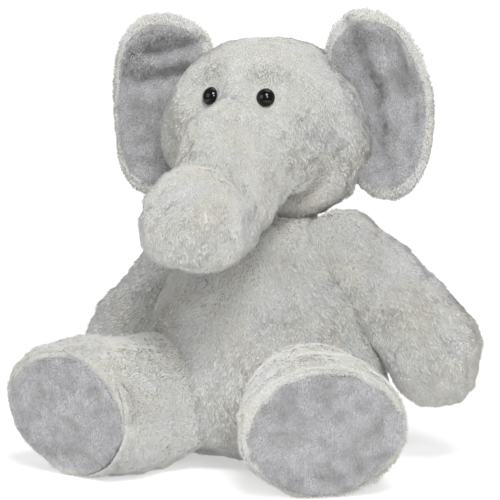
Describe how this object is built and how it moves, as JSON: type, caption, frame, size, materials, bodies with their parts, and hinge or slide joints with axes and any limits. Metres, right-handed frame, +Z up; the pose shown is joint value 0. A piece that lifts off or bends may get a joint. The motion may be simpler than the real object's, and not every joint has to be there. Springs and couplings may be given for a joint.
{
  "type": "stuffed elephant",
  "caption": "Seated plush elephant with long trunk, big lined ears, stuffed arms and legs that swing, and flat grey soles.",
  "frame": {"origin": "middle of the flat seat, on the floor", "axes": "+Z up, the elephant faces -Y, its left is +X"},
  "size_m": [0.3342, 0.2879, 0.339],
  "materials": {
    "plush": "long soft pile",
    "lining": "short soft pile",
    "stuffing": "loose polyester fibre",
    "bag": "woven cotton",
    "eye": "polished",
    "washer": "moulded",
    "label": "satin ribbon"
  },
  "bodies": {
    "torso": {"torso_front_left": "plush", "torso_front_right": "plush", "torso_back_left": "plush", "torso_back_right": "plush", "torso_stuffing": "stuffing", "pellet_bag": "bag", "blank_label": "label"},
    "neck": {"neck_stuffing": "stuffing"},
    "head": {"head_left": "plush", "head_right": "plush", "head_gusset": "plush", "chin_panel": "plush", "head_stuffing": "stuffing", "eye_left": "eye", "eye_right": "eye", "eye_washer_left": "washer", "eye_washer_right": "washer"},
    "trunk": {"trunk_left": "plush", "trunk_right": "plush", "trunk_underside": "plush", "trunk_stuffing": "stuffing"},
    "ear_left": {"ear_left_back": "plush", "ear_left_lining": "lining", "ear_left_wadding": "stuffing"},
    "ear_right": {"ear_right_back": "plush", "ear_right_lining": "lining", "ear_right_wadding": "stuffing"},
    "arm_left": {"arm_left_upper": "plush", "arm_left_under": "plush", "arm_left_stuffing": "stuffing"},
    "arm_right": {"arm_right_upper": "plush", "arm_right_under": "plush", "arm_right_stuffing": "stuffing"},
    "leg_left": {"leg_left_upper": "plush", "leg_left_under": "plush", "sole_left": "lining", "leg_left_stuffing": "stuffing"},
    "leg_right": {"leg_right_upper": "plush", "leg_right_under": "plush", "sole_right": "lining", "leg_right_stuffing": "stuffing"},
    "tail": {"tail_skin": "plush", "tail_tuft": "lining"}
  },
  "joints": [
    {"name": "neck_turn", "type": "hinge", "parent": "torso", "child": "neck", "pos_m": [0, 0, 0.182], "axis": [0, 0, 1], "range_deg": [-20, 20], "stiffness_Nm_per_rad": 0.6},
    {"name": "head_nod", "type": "hinge", "parent": "neck", "child": "head", "pos_m": [0, 0, 0.185], "axis": [1, 0, 0], "range_deg": [-8, 8], "stiffness_Nm_per_rad": 3},
    {"name": "trunk_bend", "type": "hinge", "parent": "head", "child": "trunk", "pos_m": [0, -0.056, 0.232], "axis": [1, 0, 0], "range_deg": [-20, 8], "stiffness_Nm_per_rad": 0.6},
    {"name": "ear_left_fold", "type": "hinge", "parent": "head", "child": "ear_left", "pos_m": [0.074, 0.012, 0.232], "axis": [-0.3085, 0, 0.9512], "range_deg": [-20, 20], "stiffness_Nm_per_rad": 0.08},
    {"name": "ear_right_fold", "type": "hinge", "parent": "head", "child": "ear_right", "pos_m": [-0.074, 0.012, 0.232], "axis": [0.3085, 0, 0.9512], "range_deg": [-20, 20], "stiffness_Nm_per_rad": 0.08},
    {"name": "arm_left_swing", "type": "hinge", "parent": "torso", "child": "arm_left", "pos_m": [0.06, 0, 0.16], "axis": [1, 0, 0], "range_deg": [-30, 20], "stiffness_Nm_per_rad": 0.9},
    {"name": "arm_right_swing", "type": "hinge", "parent": "torso", "child": "arm_right", "pos_m": [-0.06, 0, 0.16], "axis": [1, 0, 0], "range_deg": [-30, 20], "stiffness_Nm_per_rad": 0.9},
    {"name": "leg_left_lift", "type": "hinge", "parent": "torso", "child": "leg_left", "pos_m": [0.056, -0.062, 0.05], "axis": [-1, 0, 0], "range_deg": [-2, 12], "stiffness_Nm_per_rad": 1.5},
    {"name": "leg_right_lift", "type": "hinge", "parent": "torso", "child": "leg_right", "pos_m": [-0.056, -0.062, 0.05], "axis": [-1, 0, 0], "range_deg": [-2, 12], "stiffness_Nm_per_rad": 1.5},
    {"name": "tail_lift", "type": "hinge", "parent": "torso", "child": "tail", "pos_m": [0, 0.065, 0.04], "axis": [1, 0, 0], "range_deg": [-3, 30], "stiffness_Nm_per_rad": 0.01}
  ]
}
